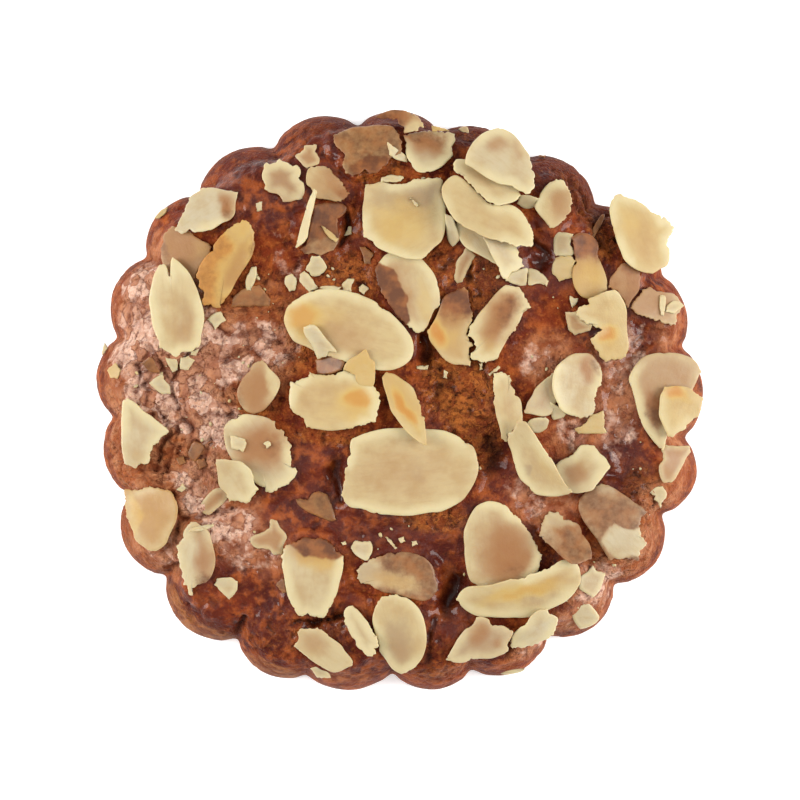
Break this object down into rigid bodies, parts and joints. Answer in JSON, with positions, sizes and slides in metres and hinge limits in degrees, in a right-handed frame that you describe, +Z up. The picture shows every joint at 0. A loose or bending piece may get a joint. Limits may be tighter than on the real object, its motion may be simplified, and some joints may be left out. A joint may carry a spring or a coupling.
{
  "type": "speculaas cookie",
  "caption": "Thick round speculaas cookie with a scalloped edge, its domed top covered with flaked almonds.",
  "frame": {"origin": "middle of the flat underside, on the surface the cookie lies on", "axes": "+Z up out of the almond-covered top; +X and +Y lie in the underside, along the cookie's width and length"},
  "size_m": [0.1001, 0.0955, 0.0185],
  "materials": {
    "dough": "baked spiced dough, red-brown, rough crumb under patches of shiny glaze",
    "almond_ivory": "pale almond flake, waxy, ivory with tan stains",
    "almond_golden": "almond flake baked light gold, waxy",
    "almond_tan": "almond flake baked light tan, waxy",
    "almond_toasted": "almond flake toasted orange-gold, waxy",
    "almond_soaked": "almond flake soaked with brown glaze, slightly shiny"
  },
  "bodies": {
    "root": {"dough": "dough", "almond_soaked_top": "almond_soaked", "almond_half_disc_top": "almond_tan", "almond_rim_top": "almond_tan", "almond_soaked_upper_left": "almond_soaked", "almond_tan_upper_left": "almond_tan", "almond_sliver_upper_left": "almond_ivory", "almond_jagged_upper_left": "almond_ivory", "almond_tan_left": "almond_tan", "almond_ivory_left_top": "almond_ivory", "almond_toasted_left": "almond_toasted", "almond_ivory_left_big": "almond_ivory", "almond_half_brown_centre": "almond_tan", "almond_square_golden": "almond_golden", "almond_golden_under": "almond_golden", "almond_ivory_under": "almond_ivory", "almond_golden_top_right": "almond_golden", "almond_ivory_under_top": "almond_ivory", "almond_ivory_top_right": "almond_ivory", "almond_tan_right_small": "almond_tan", "almond_ivory_tan_top_right": "almond_ivory", "almond_half_brown_right": "almond_tan", "almond_golden_overhang": "almond_golden", "almond_two_lobed_right": "almond_toasted", "almond_pale_right": "almond_ivory", "almond_toasted_centre_right": "almond_toasted", "almond_ivory_centre_right": "almond_ivory", "almond_golden_oval": "almond_golden", "almond_golden_mid_left": "almond_golden", "almond_centre_oval": "almond_ivory", "almond_toasted_sliver": "almond_toasted", "almond_tan_mid_left": "almond_tan", "almond_round_left": "almond_tan", "almond_ivory_low_left": "almond_ivory", "almond_ivory_triangle": "almond_ivory", "almond_tan_low_left": "almond_toasted", "almond_slim_low_left": "almond_ivory", "almond_ivory_low": "almond_ivory", "almond_soaked_low": "almond_soaked", "almond_oval_low": "almond_ivory", "almond_sliver_low": "almond_ivory", "almond_tan_bottom_left": "almond_ivory", "almond_broad_low_right": "almond_ivory", "almond_long_low_right": "almond_golden", "almond_ivory_bottom_right": "almond_ivory", "almond_spotted_bottom": "almond_ivory", "almond_soaked_right": "almond_soaked", "almond_soaked_rim_right": "almond_soaked", "almond_ivory_tan_right": "almond_ivory", "almond_ivory_sliver_right": "almond_ivory", "almond_long_ivory_right": "almond_ivory", "almond_pale_under_right": "almond_tan", "almond_round_right": "almond_ivory", "almond_tan_rim_right": "almond_tan", "almond_toasted_rim_right": "almond_toasted"}
  },
  "joints": []
}
